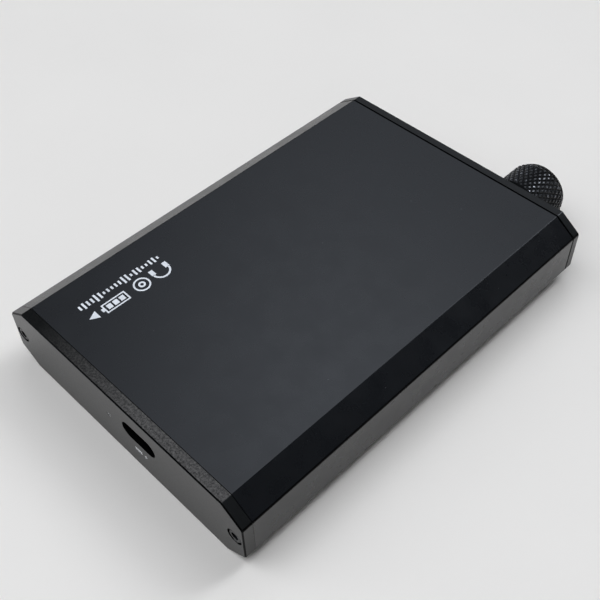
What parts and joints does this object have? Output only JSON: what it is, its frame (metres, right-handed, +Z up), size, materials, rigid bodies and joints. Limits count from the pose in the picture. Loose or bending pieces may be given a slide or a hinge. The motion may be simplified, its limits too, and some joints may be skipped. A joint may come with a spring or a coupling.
{
  "type": "digital audio player",
  "caption": "Pocket music player: flat octagonal metal sleeve with end plates, display and round buttons in front, knurled volume knob and jacks at one end, charging port at the other.",
  "frame": {"origin": "centre of the flat front face that the player rests on, midway between its end plates' outer faces", "axes": "+Z up from the display side to the plain back face, +Y from the charging end to the volume knob end, +X across the width, towards the side the knob is nearer to"},
  "size_m": [0.0652, 0.1033, 0.0155],
  "materials": {
    "shell": "satin black anodised, fine bead-blast",
    "plates": "satin black anodised, brushed edges",
    "knob_metal": "black anodised with a diamond knurl",
    "black_steel": "black oxide",
    "bright_steel": "plain",
    "gold_brass": "gold flash",
    "cover_glass": "polished, black border behind",
    "display_panel": "dark panel",
    "foam": "closed-cell foam",
    "frame_plastic": "moulded, fine texture",
    "button_caps": "satin",
    "switch_plastic": "moulded",
    "connector_plastic": "moulded",
    "white_plastic": "moulded",
    "clear_plastic": "clear moulded",
    "circuit_board": "solder mask",
    "chip_package": "moulded",
    "flex": "polyimide film",
    "pouch": "laminated foil",
    "tape": "adhesive foam",
    "wire_sleeve": "silicone",
    "card_plastic": "moulded"
  },
  "bodies": {
    "case": {"sleeve": "shell", "usb_end_plate": "plates", "knob_end_plate": "plates", "usb_end_screws": "black_steel", "knob_end_screws": "black_steel", "display_glass": "cover_glass", "display_module": "display_panel", "display_foam": "foam", "display_cable": "flex", "inner_frame": "frame_plastic", "button_board": "circuit_board", "button_switches": "switch_plastic", "button_cable": "flex", "power_switch": "switch_plastic", "volume_housing": "bright_steel", "volume_track": "circuit_board", "bushing_washer": "black_steel", "bushing_nut": "black_steel", "headphone_jack": "connector_plastic", "line_out_jack": "connector_plastic", "jack_contacts": "gold_brass", "jack_trim_rings": "gold_brass", "card_socket": "bright_steel", "usb_shell": "black_steel", "usb_insert": "connector_plastic", "light_pipe": "clear_plastic", "status_light": "white_plastic", "battery": "pouch", "battery_tape": "tape", "protection_board": "circuit_board", "battery_wires": "wire_sleeve", "battery_plug": "white_plastic", "battery_socket": "white_plastic", "main_board": "circuit_board", "shield_can": "bright_steel", "processor": "chip_package", "memory_chip": "chip_package", "converter_chip": "chip_package", "amplifier_chips": "chip_package", "audio_capacitors": "chip_package", "power_inductor": "chip_package", "clock_crystals": "bright_steel"},
    "volume_control": {"volume_knob": "knob_metal", "knob_set_screw": "black_steel", "volume_shaft": "bright_steel", "volume_rotor": "switch_plastic"},
    "power": {"power_button": "button_caps", "power_switch_plunger": "switch_plastic"},
    "card": {"memory_card": "card_plastic"},
    "play": {"play_button": "button_caps", "play_switch_plunger": "switch_plastic"},
    "previous": {"previous_button": "button_caps", "previous_switch_plunger": "switch_plastic"},
    "next": {"next_button": "button_caps", "next_switch_plunger": "switch_plastic"},
    "menu": {"menu_button": "button_caps", "menu_switch_plunger": "switch_plastic"},
    "back": {"back_button": "button_caps", "back_switch_plunger": "switch_plastic"}
  },
  "joints": [
    {"name": "volume_turn", "type": "hinge", "parent": "case", "child": "volume_control", "pos_m": [0.01625, 0.0479, 0.00775], "axis": [0, -1, 0], "range_deg": [0, 300]},
    {"name": "card_slide", "type": "slide", "parent": "case", "child": "card", "axis": [0, 1, 0], "range_m": [-0.0008, 0.013]},
    {"name": "power_press", "type": "slide", "parent": "case", "child": "power", "axis": [1, 0, 0], "range_m": [0, 0.0003], "stiffness_N_per_m": 60},
    {"name": "play_press", "type": "slide", "parent": "case", "child": "play", "axis": [0, 0, 1], "range_m": [0, 0.0003], "stiffness_N_per_m": 60},
    {"name": "previous_press", "type": "slide", "parent": "case", "child": "previous", "axis": [0, 0, 1], "range_m": [0, 0.0003], "stiffness_N_per_m": 60},
    {"name": "next_press", "type": "slide", "parent": "case", "child": "next", "axis": [0, 0, 1], "range_m": [0, 0.0003], "stiffness_N_per_m": 60},
    {"name": "menu_press", "type": "slide", "parent": "case", "child": "menu", "axis": [0, 0, 1], "range_m": [0, 0.0003], "stiffness_N_per_m": 60},
    {"name": "back_press", "type": "slide", "parent": "case", "child": "back", "axis": [0, 0, 1], "range_m": [0, 0.0003], "stiffness_N_per_m": 60}
  ]
}
